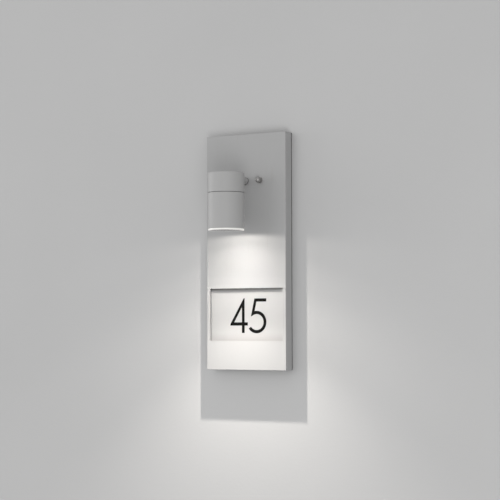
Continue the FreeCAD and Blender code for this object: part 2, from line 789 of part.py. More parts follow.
def make_lamp_holder():
    """The holder, whose two curved keyhole slots let the lamp's pins in and lock them after a part turn."""
    body = add_spot_body("lamp_holder")
    block = add_sketch(body, "XY_Plane", "-holder_drop")
    draw_circle(block, "holder_diameter / 2")
    pad(block, "holder_height", backwards=True)

    screws = add_sketch(body, "XY_Plane", "-holder_drop + overrun")
    draw_holder_screws(screws, "screw_diameter / 2 + screw_fit")
    cut(screws, "holder_height + 2 * overrun")
    wells = add_sketch(body, "XY_Plane", "-holder_foot")
    draw_holder_screws(wells, "screw_head_diameter / 2 + head_clearance")
    cut(wells, "holder_counterbore_depth", along=True)

    neck, head = "(pin_neck_diameter / 2 + bayonet_clearance)", "(pin_head_diameter / 2 + bayonet_clearance)"
    turns = [
        sweep_slot(body, neck, "-holder_foot - overrun", "-floor_top"),
        sweep_slot(body, head, "-floor_top", "-floor_top + bayonet_room"),
        round_slot(body, neck, "pin_radius", "0", "-holder_foot", "bayonet_floor"),
        round_slot(body, head, "pin_radius", "0", "-floor_top", "bayonet_room"),
        round_slot(body, head, "pin_radius * cos(bayonet_turn)", "-pin_radius * sin(bayonet_turn)",
                   "-holder_foot", "bayonet_floor + bayonet_room"),
    ]
    both = body.newObject("PartDesign::PolarPattern", "both_slots")
    both.Originals = turns
    both.Axis = (block, ["N_Axis"])
    both.Angle = 360
    both.Occurrences = 2
    body.Tip = both
    return keep(body, "lamp_holder")


def sweep_slot(body, half_width, low, high):
    """The curved stretch of a slot, which a pin follows as the lamp turns."""
    sketch = add_sketch(body, "XZ_Plane")
    inner, outer = "pin_radius - " + half_width, "pin_radius + " + half_width
    draw_outline(sketch, [(inner, low), (outer, low), (outer, high), (inner, high)])
    groove = add_feature(sketch, "Groove", ReferenceAxis=(sketch, ["V_Axis"]), Reversed=True)
    groove.setExpression("Angle", bound("bayonet_turn"))
    return groove


def round_slot(body, radius, x, y, low, depth):
    """A round end of a slot, a little wider than the slot, cut upwards."""
    sketch = add_sketch(body, "XY_Plane", low)
    draw_circle(sketch, radius + " + bayonet_relief", x, y)
    return cut(sketch, depth, along=True)


def make_holder_screws():
    """The two screws that hold the lamp holder up to the cap's posts."""
    screws = []
    for side in ("", "-"):
        screw = add_body("holder_screw", DOWN,
                         side + "holder_screw_radius * cos(holder_screw_angle)",
                         "spot_ahead - (%sholder_screw_radius * sin(holder_screw_angle))" % side,
                         "cap_top - holder_foot + holder_counterbore_depth")
        add_screw(screw, "screw_diameter", "holder_screw_length", "screw_head_diameter", "screw_head_height")
        screws.append(screw)
    group("holder_screws", screws)


def make_lamp():
    """The reflector lamp: its bowl, the lens in its mouth and its two headed pins."""
    neck, rim, mouth = "lamp_neck_diameter / 2", "lamp_diameter / 2", "lens_diameter / 2 + lens_fit"
    turned("lamp_shell", add_spot_body("lamp_shell"), [
        ("0", "-lamp_top"), (neck, "-lamp_top"),
        (neck, "-(lamp_top + lamp_neck_length)", "lamp_bowl_radius"),
        (rim, "-(lamp_front - lamp_rim_height)"), (rim, "-lamp_front"), (mouth, "-lamp_front"),
        (mouth, "-lens_back"), ("0", "-lens_back")])
    turned("lamp_lens", add_spot_body("lamp_lens"),
           ring_outline("0", "lens_diameter / 2", "-lens_front", "-lens_back"))

    pins = []
    for side in ("", "-"):
        pin = add_body("pin", UP, side + "pin_radius", "spot_ahead", "cap_top - lamp_top")
        shape = add_sketch(pin, "XZ_Plane")
        thin, thick = "pin_neck_diameter / 2", "pin_head_diameter / 2"
        high = "pin_neck_length + pin_head_height"
        draw_outline(shape, [("0", "0"), (thin, "0"), (thin, "pin_neck_length"), (thick, "pin_neck_length"),
                             (thick, high), ("0", high)])
        turn_about_height(shape)
        pins.append(pin)
    group("lamp_pins", pins)


def make_wall_plate():
    """The steel plate on the wall: slots for its screws, the cable hole and two folded sides."""
    body = add_body("wall_plate")
    outline = add_sketch(body, "XZ_Plane")
    draw_box(outline, "plate_width", "plate_height")
    base = pad(outline, "plate_thickness")
    round_edges(base, "plate_corner_radius", runs_ahead)

    sides = add_sketch(body, "XZ_Plane", "plate_thickness")
    for side in ("-", ""):
        draw_box(sides, "plate_thickness", "flange_length", side + "(plate_width - plate_thickness) / 2")
    pad(sides, "flange_height")

    straights = add_sketch(body, "XZ_Plane", "plate_thickness + overrun")
    ends = add_sketch(body, "XZ_Plane", "plate_thickness + overrun")
    straight = "(slot_length - slot_width)"
    for side in ("-", ""):
        for level in ("-", ""):
            x, z = side + "slot_spacing / 2", level + "slot_rise / 2"
            draw_box(straights, straight, "slot_width", x, z)
            for end in (" - ", " + "):
                draw_circle(ends, "slot_width / 2", x + end + straight + " / 2", z)
    cut(straights, "plate_thickness + 2 * overrun")
    cut(ends, "plate_thickness + 2 * overrun")

    holes = add_sketch(body, "XZ_Plane", "plate_thickness + overrun")
    draw_circle(holes, "inlet_diameter / 2", "0", "-inlet_drop")
    draw_circle(holes, "earth_screw_diameter / 2 + screw_fit", "earth_offset", "terminal_rise")
    for side in ("-", ""):
        draw_circle(holes, "stud_diameter / 2 + stud_fit", side + "stud_spacing / 2", "arm_height")
        draw_circle(holes, "screw_diameter / 2 + screw_fit", side + "pole_pitch / 2", "terminal_rise")
    cut(holes, "plate_thickness + 2 * overrun")
    return keep(body, "wall_plate")


def make_grommet():
    """The rubber grommet in the plate's cable hole."""
    body = add_body("cable_grommet", AHEAD, "0", "0", "-inlet_drop")
    bore, flange = "grommet_bore / 2", "grommet_flange_diameter / 2"
    hole = "inlet_diameter / 2 - grommet_fit"
    seat, step = "plate_thickness", "plate_thickness + grommet_flange_thickness"
    turned("cable_grommet", body, [
        (bore, "0"), (hole, "0"), (hole, seat), (flange, seat), (flange, step),
        (bore + " + grommet_nose_wall", step), (bore + " + grommet_lip", "grommet_length"),
        (bore, "grommet_length")])


def make_terminal_block():
    """The three-pole block on the wall plate, with its clamping screws and its two fixing screws."""
    body = add_body("terminal_block")
    outline = add_sketch(body, "XZ_Plane", "plate_thickness")
    draw_box(outline, "terminal_width", "terminal_height", "0", "terminal_rise")
    pad(outline, "terminal_depth")

    notches = add_sketch(body, "XZ_Plane", "terminal_front + overrun")
    fixings = add_sketch(body, "XZ_Plane", "terminal_front + overrun")
    for side in ("-", ""):
        x = side + "pole_pitch / 2"
        draw_box(notches, "terminal_notch_width", "terminal_height + 2 * overrun", x, "terminal_rise")
        draw_circle(fixings, "screw_diameter / 2 + screw_fit", x, "terminal_rise")
    cut(notches, "terminal_notch_depth + overrun")
    cut(fixings, "terminal_depth + 2 * overrun")
    heads = add_sketch(body, "XZ_Plane", "terminal_front + overrun")
    for side in ("-", ""):
        draw_circle(heads, "screw_head_diameter / 2 + head_clearance",
                    side + "pole_pitch / 2", "terminal_rise")
    cut(heads, "screw_head_height + block_screw_head_setback + overrun")

    wires = add_sketch(body, "XY_Plane", "terminal_top + overrun")
    wells = add_sketch(body, "XZ_Plane", "terminal_front + overrun")
    for pole in ("-pole_pitch", "0", "pole_pitch"):
        draw_circle(wires, "wire_hole_diameter / 2", pole, "-(plate_thickness + wire_height)")
        for level in (" - ", " + "):
            draw_circle(wells, "well_diameter / 2", pole, "terminal_rise" + level + "well_spacing / 2")
    cut(wires, "terminal_height + 2 * overrun")
    cut(wells, "well_depth + overrun")
    keep(body, "terminal_block")

    screws = []
    for pole in ("-pole_pitch", "0", "pole_pitch"):
        for level in (" - ", " + "):
            screws.append(make_clamp_screw(pole, "terminal_rise" + level + "well_spacing / 2"))
    group("terminal_screws", screws)

    fixing = add_body("block_screw", AHEAD, "pole_pitch / 2",
                      "terminal_front - screw_head_height - block_screw_head_setback", "terminal_rise")
    length = "terminal_front - screw_head_height - 2 * block_screw_head_setback"
    add_screw(fixing, "screw_diameter", length, "screw_head_diameter", "screw_head_height")
    group("block_screws", [fixing, mirror(fixing)])


def make_clamp_screw(x, z):
    """A headless slotted screw at the bottom of one of the block's wells."""
    body = add_body("clamp_screw", AHEAD, x, "terminal_front - well_depth", z)
    sketch = add_sketch(body, "XY_Plane")
    draw_circle(sketch, "terminal_screw_diameter / 2")
    pad(sketch, "terminal_screw_height")
    slot = add_sketch(body, "XY_Plane", "terminal_screw_height")
    draw_box(slot, "terminal_screw_diameter + overrun", "screw_slot_width")
    cut(slot, "screw_slot_depth")
    return body


def make_earth_screw():
    """The earth screw on the wall plate, with its washer."""
    washer = add_body("earth_washer", AHEAD, "earth_offset", "plate_thickness", "terminal_rise")
    turned("earth_washer", washer, ring_outline(
        "earth_screw_diameter / 2 + screw_fit", "earth_washer_diameter / 2", "0", "earth_washer_thickness"))
    screw = add_body("earth_screw", AHEAD, "earth_offset", "earth_seat", "terminal_rise")
    keep(add_screw(screw, "earth_screw_diameter", "earth_seat - earth_screw_setback",
                   "earth_head_diameter", "earth_head_height"), "earth_screw")


def make_leads():
    """Two insulated leads from the lamp holder, back through the arm and down to the terminal block."""
    side = value("lead_spacing / 2")
    behind = -value("plate_thickness + wire_height")
    high = value("arm_height")
    out = -value("spot_ahead") + value("lead_exit")
    pole = value("pole_pitch")
    points = [
        FreeCAD.Vector(side, out, value("cap_top - holder_drop")),
        FreeCAD.Vector(side, out, high),
        FreeCAD.Vector(side, behind, high),
        FreeCAD.Vector(side, behind, high - value("lead_spread_drop")),
        FreeCAD.Vector(pole, behind, value("terminal_top + lead_spread_rise")),
        FreeCAD.Vector(pole, behind, value("terminal_top + lead_gap")),
    ]
    route = rounded_route(points, value("lead_bend_radius"))
    radius = value("lead_diameter") / 2
    section = Part.Wire(Part.makeCircle(radius, points[0], points[1] - points[0]))
    lead = doc.addObject("Part::Feature", "lead")
    lead.Shape = route.makePipeShell([section], True, False)
    expected = route.Length * math.pi * radius ** 2
    print("lead: length %.1f mm, volume share of section times length %.4f"
          % (route.Length, lead.Shape.Volume / expected))
    group("lamp_leads", [lead, mirror(lead)])


def rounded_route(points, radius):
    """A wire of straight runs through the points, with a tangent arc at each corner."""
    edges = []
    start = points[0]
    for before, corner, after in zip(points, points[1:], points[2:]):
        inward, onward = (before - corner).normalize(), (after - corner).normalize()
        half_turn = (math.pi - inward.getAngle(onward)) / 2
        setback = radius * math.tan(half_turn)
        first, last = corner + inward * setback, corner + onward * setback
        middle = corner + (inward + onward).normalize() * (radius / math.cos(half_turn) - radius)
        edges.append(Part.LineSegment(start, first).toShape())
        edges.append(Part.Arc(first, middle, last).toShape())
        start = last
    edges.append(Part.LineSegment(start, points[-1]).toShape())
    return Part.Wire(edges)


def check_cuts(body):
    """Stops the build if a cut took nothing away."""
    before = 0
    for feature in body.Group:
        if not hasattr(feature, "Profile"):
            continue
        volume = feature.Shape.Volume
        if feature.TypeId.endswith(("Pocket", "Groove")) and volume >= before:
            raise RuntimeError("%s of %s cuts nothing" % (feature.Name, body.Label))
        before = volume


def check_and_write():
    """Checks every object and each sub-part's shape, then writes one file for each sub-part."""
    doc.recompute()
    for item in doc.Objects:
        if "Invalid" in item.State or "Error" in item.State:
            raise RuntimeError("%s failed: %s" % (item.Name, item.State))
        if item.TypeId == "PartDesign::Body":
            check_cuts(item)
    os.makedirs("parts", exist_ok=True)
    for piece in nodes:
        if piece.Shape.isNull() or not piece.Shape.isValid():
            raise RuntimeError("%s has no valid shape" % piece.Label)
    for piece in nodes:
        piece.Shape.exportStep("parts/%s.step" % piece.Label)
        print("%-20s %d solids, %.1f mm3" % (piece.Label, len(piece.Shape.Solids), piece.Shape.Volume))


fill_sheet()
make_wall_plate()
make_grommet()
make_terminal_block()
make_earth_screw()
make_studs()
make_housing()
make_wall_gasket()
make_number_plate()
make_clips()
make_arm()
make_spot_cap()
make_grub_screw()
make_sleeve()
make_lamp_holder()
make_holder_screws()
make_lamp()
make_leads()
check_and_write()
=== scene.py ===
import math

import bmesh
import bpy
from mathutils import Matrix, Vector


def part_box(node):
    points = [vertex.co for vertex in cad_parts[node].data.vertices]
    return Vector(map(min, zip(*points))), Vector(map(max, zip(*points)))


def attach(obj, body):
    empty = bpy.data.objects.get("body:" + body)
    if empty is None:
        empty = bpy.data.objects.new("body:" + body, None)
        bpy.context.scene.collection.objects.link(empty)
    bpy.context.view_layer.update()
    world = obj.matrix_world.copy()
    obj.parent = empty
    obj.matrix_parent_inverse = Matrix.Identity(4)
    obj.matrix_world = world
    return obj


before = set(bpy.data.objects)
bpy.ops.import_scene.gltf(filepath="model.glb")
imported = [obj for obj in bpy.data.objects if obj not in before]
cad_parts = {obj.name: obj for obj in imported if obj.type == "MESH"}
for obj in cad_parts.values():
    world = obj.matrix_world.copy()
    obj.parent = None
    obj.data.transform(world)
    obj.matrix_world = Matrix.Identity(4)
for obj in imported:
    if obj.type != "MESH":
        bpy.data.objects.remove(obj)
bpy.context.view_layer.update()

# Camera
# It stands about 2.4 m off, to the right of the wall light and a little below its middle, and
# looks slightly up through a long lens, as the photograph was taken.
CAMERA_PLACE = (1.21269, -2.04614, -0.11369)
CAMERA_TURN, CAMERA_TILT, CAMERA_ROLL = 30.7434, 2.8224, -0.1311
LENS_PIXELS, PICTURE_PIXELS = 1550, 500
lens = bpy.data.cameras.new("camera")
lens.sensor_width = 36
lens.lens = LENS_PIXELS / PICTURE_PIXELS * lens.sensor_width
camera = bpy.data.objects.new("camera", lens)
bpy.context.scene.collection.objects.link(camera)
bpy.context.scene.camera = camera
camera.matrix_world = (
    Matrix.Translation(CAMERA_PLACE)
    @ Matrix.Rotation(math.radians(CAMERA_TURN), 4, "Z")
    @ Matrix.Rotation(math.radians(90 + CAMERA_TILT), 4, "X")
    @ Matrix.Rotation(math.radians(CAMERA_ROLL), 4, "Z")
)


# Wall and floor
# A smooth painted wall that sweeps round into a pale floor. Seen from behind it is clear, and an
# opening behind the wall plate lets light reach the plate's back.
class Wire:
    """One output in a finish's nodes. Sums that are written with it add their Math nodes."""

    def __init__(self, finish, socket=None):
        self.finish = finish
        self.socket = socket

    def node(self, kind, settings=None, sockets=None):
        """Adds a node: its settings first, then the values or wires of its sockets."""
        added = self.finish.node_tree.nodes.new(kind)
        for name, setting in (settings or {}).items():
            setattr(added, name, setting)
        for name, value in (sockets or {}).items():
            socket = added.inputs[name] if isinstance(name, int) else next(
                each for each in added.inputs if each.name == name and each.enabled)
            if isinstance(value, Wire):
                self.finish.node_tree.links.new(value.socket, socket)
            else:
                socket.default_value = value
        return Wire(self.finish, next((each for each in added.outputs if each.enabled), None))

    def output(self, name):
        """Another output of the same node."""
        return Wire(self.finish, self.socket.node.outputs[name])

    def worked(self, operation, one, other=0.0):
        """What a Math node makes of one number or of two."""
        return self.node("ShaderNodeMath", {"operation": operation}, {0: one, 1: other})

    def __add__(self, other):
        return self.worked("ADD", self, other)

    __radd__ = __add__

    def __mul__(self, other):
        return self.worked("MULTIPLY", self, other)

    __rmul__ = __mul__

    def __sub__(self, other):
        return self.worked("SUBTRACT", self, other)

    def __rsub__(self, other):
        return self.worked("SUBTRACT", other, self)

    def __truediv__(self, other):
        return self.worked("DIVIDE", self, other)

    def __rtruediv__(self, other):
        return self.worked("DIVIDE", other, self)

    def __abs__(self):
        return self.worked("ABSOLUTE", self)

    def share(self, low, high):
        """How far the value is from low to high, eased, and held at 0 and 1 beyond them."""
        return self.node("ShaderNodeMapRange", {"interpolation_type": "SMOOTHSTEP"},
                         {"Value": self, "From Min": low, "From Max": high})

    def blend(self, one, other):
        """The colour one where this is 0 and the colour other where it is 1."""
        return self.node("ShaderNodeMix", {"data_type": "RGBA"},
                         {"Factor": self, "A": one, "B": other})

    def stretched(self, x, y, z):
        """The point with each of its three distances multiplied."""
        return self.node("ShaderNodeVectorMath", {"operation": "MULTIPLY"},
                         {0: self, 1: (x, y, z)})

    def along(self, axis):
        """How far the point lies along X, Y or Z."""
        return self.node("ShaderNodeSeparateXYZ", {}, {"Vector": self}).output(axis)

    def distance(self, point):
        """How far the point lies from another one."""
        return self.node("ShaderNodeVectorMath", {"operation": "DISTANCE"},
                         {0: self, 1: point}).output("Value")

    def clouds(self, size, detail=2.0):
        """Random soft lumps of that size in metres, mostly from 0.3 to 0.7."""
        return self.node("ShaderNodeTexNoise", {},
                         {"Vector": self, "Scale": 1 / size, "Detail": detail})

    def pits(self, size):
        """Round pits of that size in metres: 0 at a pit's middle and about 0.5 between pits."""
        return self.node("ShaderNodeTexVoronoi", {}, {"Vector": self, "Scale": 1 / size})

    def flakes(self, size):
        """Flat flakes of that size in metres, each of one random tone from 0 to 1."""
        tone = self.pits(size).output("Color")
        return self.node("ShaderNodeSeparateColor", {}, {"Color": tone})

    def dust(self, size, slope):
        """Patches of dust of that size, from 0 on that slope to 1 where the surface is level."""
        upward = self.node("ShaderNodeNewGeometry").output("Normal").along("Z")
        return upward.share(slope, 1.0) * self.clouds(size, 4.0).share(0.3, 0.6)

    def raised(self, height, under=None):
        """The surface with this relief times a height in metres, on another relief or bare."""
        sockets = {"Height": self, "Distance": height}
        if under:
            sockets["Normal"] = under
        return self.node("ShaderNodeBump", {}, sockets)

    def surface(self, **sockets):
        """Ends the finish with one paint, plastic, metal or glass surface and gives it back."""
        named = {}
        for name, value in sockets.items():
            named[name.replace("_", " ").title().replace("Ior", "IOR")] = value
        shader = self.node("ShaderNodeBsdfPrincipled", {}, named)
        self.node("ShaderNodeOutputMaterial", {}, {"Surface": shader})
        return self.finish


def new_finish(name):
    """A new finish, as the wire of where each point of a piece lies, in metres."""
    finish = bpy.data.materials.new(name)
    finish.use_nodes = True
    finish.node_tree.nodes.clear()
    return Wire(finish).node("ShaderNodeTexCoord").output("Object")


def grey(shade, warmth=0.0):
    """An opaque grey of that brightness, a little warmer or, below 0, cooler."""
    return (shade * (1 + warmth), shade, shade * (1 - warmth), 1.0)


HALF_WIDTH = 4.0
FLOOR = -1.8
FLOOR_FRONT, FLOOR_MIDDLE = -4.0, -1.5
SWEEP, SWEEP_STEPS = 0.35, 16
WALL = 0.0006
WALL_TOP = 3.0
OPENING_RIM = 0.002
open_low, open_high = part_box("wall_plate")
profile = [(FLOOR_FRONT, FLOOR), (FLOOR_MIDDLE, FLOOR)]
for step in range(SWEEP_STEPS + 1):
    angle = math.radians(step * 90 / SWEEP_STEPS)
    profile.append((WALL - SWEEP + SWEEP * math.sin(angle),
                    FLOOR + SWEEP - SWEEP * math.cos(angle)))
opening = len(profile)
profile += [(WALL, open_low.z + OPENING_RIM), (WALL, open_high.z - OPENING_RIM), (WALL, WALL_TOP)]
sides = (-HALF_WIDTH, open_low.x + OPENING_RIM, open_high.x - OPENING_RIM, HALF_WIDTH)
swept = bmesh.new()
rows = [[swept.verts.new((side, y, z)) for side in sides] for y, z in profile]
for step in range(len(profile) - 1):
    for column in range(len(sides) - 1):
        if (step, column) != (opening, 1):
            near, far = rows[step], rows[step + 1]
            face = swept.faces.new((near[column], near[column + 1], far[column + 1], far[column]))
            face.smooth = True
backdrop = bpy.data.objects.new("backdrop", bpy.data.meshes.new("backdrop"))
swept.to_mesh(backdrop.data)
bpy.context.scene.collection.objects.link(backdrop)

place = new_finish("pale_wall_paint")
painted = place.node("ShaderNodeBsdfPrincipled", {}, {
    "Base Color": place.clouds(0.25).blend(grey(0.45), grey(0.48)),
    "Roughness": 0.85,
    "Normal": (place.clouds(0.004, 3.0) + place.clouds(0.03)).raised(0.0001),
})
open_view = place.node("ShaderNodeBsdfTransparent")
behind = place.node("ShaderNodeNewGeometry").output("Backfacing")
one_sided = place.node("ShaderNodeMixShader", {}, {0: behind, 1: painted, 2: open_view})
place.node("ShaderNodeOutputMaterial", {}, {"Surface": one_sided})
backdrop.data.materials.append(place.finish)

# Studio light
# Even light from a pale room and three large soft lamps: one along the wall from the left, one in
# front of it and a low one on the right. A colour comes out about as it is mixed.
ROOM_LIGHT, ROOM_LOOK = 0.77, 0.80
LAMP_WIDTH = 1.3
room = bpy.data.worlds.new("pale_room")
bpy.context.scene.world = room
room.use_nodes = True
room.node_tree.nodes.clear()
ray = Wire(room).node("ShaderNodeLightPath").output("Is Camera Ray")
seen = ray.worked("MAXIMUM", ray, ray.output("Is Glossy Ray"))
seen = ray.worked("MAXIMUM", seen, ray.output("Is Transmission Ray"))
light_of_room = ray.node("ShaderNodeBackground", {}, {"Color": grey(1.0), "Strength": ROOM_LIGHT})
look_of_room = ray.node("ShaderNodeBackground", {}, {"Color": grey(ROOM_LOOK), "Strength": 1.0})
mixed = ray.node("ShaderNodeMixShader", {}, {0: seen, 1: light_of_room, 2: look_of_room})
ray.node("ShaderNodeOutputWorld", {}, {"Surface": mixed})


def soft_lamp(name, where, watts):
    """A square soft lamp, turned to the wall light."""
    light = bpy.data.lights.new(name, "AREA")
    light.size = LAMP_WIDTH
    light.energy = watts
    lamp = bpy.data.objects.new(name, light)
    bpy.context.scene.collection.objects.link(lamp)
    lamp.location = where
    lamp.rotation_euler = (-Vector(where)).to_track_quat("-Z", "Y").to_euler()
    lamp.visible_camera = False


soft_lamp("soft_lamp_along_wall", (-2.93, -0.62, 0.16), watts=18.4)
soft_lamp("soft_lamp_front", (-1.25, -2.68, 0.52), watts=8.9)
soft_lamp("soft_lamp_low", (1.41, -2.44, -1.03), watts=24.0)
bpy.context.scene.view_settings.view_transform = "Standard"


# Wall plate
# Galvanised steel sheet, punched with level slots for the wall screws and folded forward along its
# sides. It is screwed to the wall first, and everything else hangs on it.
def dress(finish, *nodes):
    """Gives CAD nodes a finish."""
    for name in nodes:
        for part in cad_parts[name].material_slots:
            part.material = finish


place = new_finish("galvanised_sheet")
spangle = place.flakes(0.0042)
rolled = place.stretched(1.0, 1.0, 0.04).clouds(0.0005, 3.0)
white_rust = place.clouds(0.035, 4.0).share(0.56, 0.74)
zinc = (spangle * 0.45 + rolled * 0.55).blend(grey(0.42, -0.02), grey(0.60, 0.005))
galvanised_sheet = place.surface(
    base_color=white_rust.blend(zinc, grey(0.50, -0.01)),
    metallic=1 - white_rust * 0.5,
    roughness=spangle * 0.12 + rolled * 0.15 + white_rust * 0.25 + 0.24,
    normal=rolled.raised(0.000012, spangle.raised(0.000008)),
)
dress(galvanised_sheet, "wall_plate")

# Mounting studs and their nuts
# Two lengths of stainless threaded rod, held on the wall plate by lock nuts. The housing's face
# goes over them.
PITCH = 0.0008
STUD_SIDE = 0.025
STUD_HEIGHT = 0.1085
place = new_finish("rolled_stainless_thread")
sideways = abs(place.along("X")) - STUD_SIDE
turn = place.worked("ARCTAN2", place.along("Z") - STUD_HEIGHT, sideways) / math.tau
flank = abs(place.worked("FRACT", place.along("Y") / PITCH + turn) - 0.5) * 2
# The thread's grooves are painted darker than its crests: painted shade in the grooves.
dress(place.surface(
    base_color=flank.share(0.0, 0.7).blend(grey(0.20, 0.02), grey(0.58, 0.02)),
    metallic=1.0,
    roughness=place.clouds(0.0004) * 0.15 + 0.22,
    normal=flank.share(0.05, 0.85).raised(0.0004),
), "mounting_studs")

place = new_finish("turned_stainless")
tool_lines = place.stretched(0.04, 1.0, 0.04).clouds(0.00006)
handled = place.clouds(0.0015, 3.0)
turned_stainless = place.surface(
    base_color=handled.blend(grey(0.47, 0.02), grey(0.62, 0.015)),
    metallic=1.0,
    roughness=tool_lines * 0.10 + handled * 0.12 + 0.14,
    normal=tool_lines.raised(0.000003),
)
dress(turned_stainless, "stud_lock_nuts")

# Cable grommet
# Moulded black rubber, pressed into the hole in the wall plate before the plate goes up. The house
# cable comes through it.
place = new_finish("moulded_rubber")
bloom = place.clouds(0.004, 4.0).share(0.45, 0.75)
moulded_rubber = place.surface(
    base_color=bloom.blend(grey(0.018), grey(0.045, 0.03)),
    roughness=place.clouds(0.0007) * 0.2 + bloom * 0.1 + 0.5,
    normal=place.clouds(0.00025).raised(0.00001),
)
dress(moulded_rubber, "cable_grommet")

# Terminal block
# A natural polyamide moulding with brass clamping screws, held on the wall plate by two steel
# screws. The lamp's leads and the house cable meet in it.
NYLON_DARK, NYLON_PALE = (0.60, 0.585, 0.53, 1.0), (0.69, 0.68, 0.63, 1.0)
BRASS, BRASS_TARNISHED = (0.78, 0.57, 0.26, 1.0), (0.52, 0.35, 0.15, 1.0)
ZINC_BLUE, ZINC_YELLOW = (0.50, 0.53, 0.57, 1.0), (0.63, 0.62, 0.58, 1.0)
place = new_finish("natural_polyamide")
flow = place.stretched(0.2, 1.0, 1.0).clouds(0.003, 3.0)
dress(place.surface(
    base_color=flow.blend(NYLON_DARK, NYLON_PALE),
    roughness=flow * 0.15 + 0.42,
    normal=place.clouds(0.00022).raised(0.000012),
), "terminal_block")

place = new_finish("turned_brass")
tarnish = place.clouds(0.0025, 4.0).share(0.4, 0.7)
rings = place.stretched(1.0, 0.04, 1.0).clouds(0.00012)
turned_brass = place.surface(
    base_color=tarnish.blend(BRASS, BRASS_TARNISHED),
    metallic=1.0,
    roughness=tarnish * 0.18 + rings * 0.1 + 0.18,
    normal=rings.raised(0.000005),
)
dress(turned_brass, "terminal_screws")

place = new_finish("zinc_plated_steel")
plating = place.clouds(0.0018, 3.0)
drawn_lines = place.clouds(0.00009, 1.0)
zinc_plated_steel = place.surface(
    base_color=plating.share(0.35, 0.65).blend(ZINC_BLUE, ZINC_YELLOW),
    metallic=1.0,
    roughness=plating * 0.15 + drawn_lines * 0.1 + 0.17,
    normal=drawn_lines.raised(0.000003),
)
dress(zinc_plated_steel, "block_screws")

# Earth screw
# A brass screw and a steel washer that clamp the green and yellow wire of the house cable to the
# wall plate.
dress(turned_brass, "earth_screw")
dress(zinc_plated_steel, "earth_washer")

# Wall gasket
# A frame of closed-cell foam, cut from sheet and stuck round the housing's rim. It is squeezed
# against the wall, where it shows as a thin dark line.
place = new_finish("closed_cell_foam")
pores = place.pits(0.00045)
skin = place.clouds(0.01).blend(grey(0.026), grey(0.045))
# The pores are painted near black: painted shade in them.
closed_cell_foam = place.surface(
    base_color=pores.share(0.05, 0.55).blend(grey(0.010), skin),
    roughness=0.93,
    normal=pores.raised(0.0001),
)
dress(closed_cell_foam, "wall_gasket")

# Housing
# Aluminium sheet, folded into a shallow box, welded and ground at its corners and powder coated
# light silver grey. Its window and holes are cut before it is coated, and it hangs on the studs.
PAINT_DARK, PAINT_LIGHT = 0.338, 0.368
GRAIN_SIZE, FLAKE_SIZE = 0.00022, 0.0003
DUST, ARM_SHADE = (0.30, 0.29, 0.27, 1.0), (0.06, 0.06, 0.06, 1.0)
ARM_SHADE_MIDDLE, ARM_SHADE_RIM = 0.0006, 0.0034
ARM_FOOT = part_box("arm_seal")[0].z
place = new_finish("silver_powder_coat")
cured = place.clouds(0.0011, 1.0)
grain = place.clouds(GRAIN_SIZE, 1.0)
tone = place.clouds(0.08, 3.0) * 0.55 + place.flakes(FLAKE_SIZE) * 0.2 + grain * 0.25
run_marks = place.stretched(1.0, 1.0, 0.05).clouds(0.004, 2.0).share(0.56, 0.72)
washed = place.clouds(0.05, 2.0).share(0.45, 0.7) * run_marks * 0.25
# A dark spot is painted on the face just below the arm's foot: painted shade under the arm, mixed
# in with the real run marks and dust.
below_arm = place.stretched(1.0, 0.0, 1.0).distance((0.0, 0.0, ARM_FOOT))
painted_arm_shade = (1 - below_arm.share(ARM_SHADE_MIDDLE, ARM_SHADE_RIM)) * 0.8
weathering_and_arm_shade = place.worked("MAXIMUM", washed + place.dust(0.006, 0.5) * 0.5, painted_arm_shade)
dress(place.surface(
    base_color=weathering_and_arm_shade.blend(tone.blend(grey(PAINT_DARK), grey(PAINT_LIGHT)),
                               painted_arm_shade.blend(DUST, ARM_SHADE)),
    roughness=place.clouds(0.012) * 0.12 + weathering_and_arm_shade * 0.15 + 0.46,
    specular_ior_level=0.25,
    normal=grain.raised(0.000002, cured.raised(0.000010)),
), "housing")

# Number plate
# Satin opal acrylic, sawn to size, that four clips press on its seal behind the window. Shade is
# painted on it under the window's upper edge, and it is a little darker towards the window's foot.
PLATE_LAP = 0.003
LIP_SHADE_REACH, FOOT_DARK_REACH = 0.007, 0.014
LIP_SHADE = (0.10, 0.095, 0.085, 1.0)
plate_low, plate_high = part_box("number_plate")
window_foot, window_top = plate_low.z + PLATE_LAP, plate_high.z - PLATE_LAP
place = new_finish("satin_opal_acrylic")
satin = place.clouds(0.00015, 1.0)
clean = place.clouds(0.03, 3.0).blend(grey(0.360, 0.004), grey(0.375, 0.004))
# The plate is a little darker towards the window's foot.
darker_near_foot = (1 - place.along("Z").share(window_foot, window_foot + FOOT_DARK_REACH)) * 0.7
# Under the window's upper edge the plate is painted darker in streaks: painted shade under the
# lip.
under_lip = place.along("Z").share(window_top - LIP_SHADE_REACH, window_top)
streaks = place.stretched(1.0, 1.0, 0.3).clouds(0.004, 3.0) * 0.5 + 0.55
painted_lip_shade = under_lip * under_lip * streaks
dress(place.surface(
    base_color=painted_lip_shade.blend(darker_near_foot.blend(clean, grey(0.285, 0.015)), LIP_SHADE),
    roughness=satin * 0.1 + place.clouds(0.008) * 0.08 + 0.42,
    specular_ior_level=0.25,
    normal=satin.raised(0.000003),
), "number_plate")
dress(closed_cell_foam, "plate_seal")
dress(galvanised_sheet, "plate_clips")
dress(zinc_plated_steel, "clip_screws")

# House number
# The figures 4 and 5 in a thin even stroke, cut from black adhesive film and stuck on the number
# plate. Their points are in millimetres, right of the housing's middle and below its top.
FILM = 0.00009
HOUSING_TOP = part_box("housing")[1].z
place = new_finish("black_adhesive_film")
black_film = place.surface(
    base_color=place.clouds(0.006, 3.0).blend(grey(0.003), grey(0.006)),
    roughness=place.clouds(0.002) * 0.15 + 0.5,
    specular_ior_level=0.05,
    normal=place.clouds(0.0008).raised(0.000005),
)


def arc_points(middle, radius, first, last, count):
    """Points on an arc about a middle, between two angles that turn down from the right."""
    turns = [math.radians(first + (last - first) * step / count) for step in range(count + 1)]
    return [(middle[0] + radius * math.cos(turn), middle[1] + radius * math.sin(turn))
            for turn in turns]


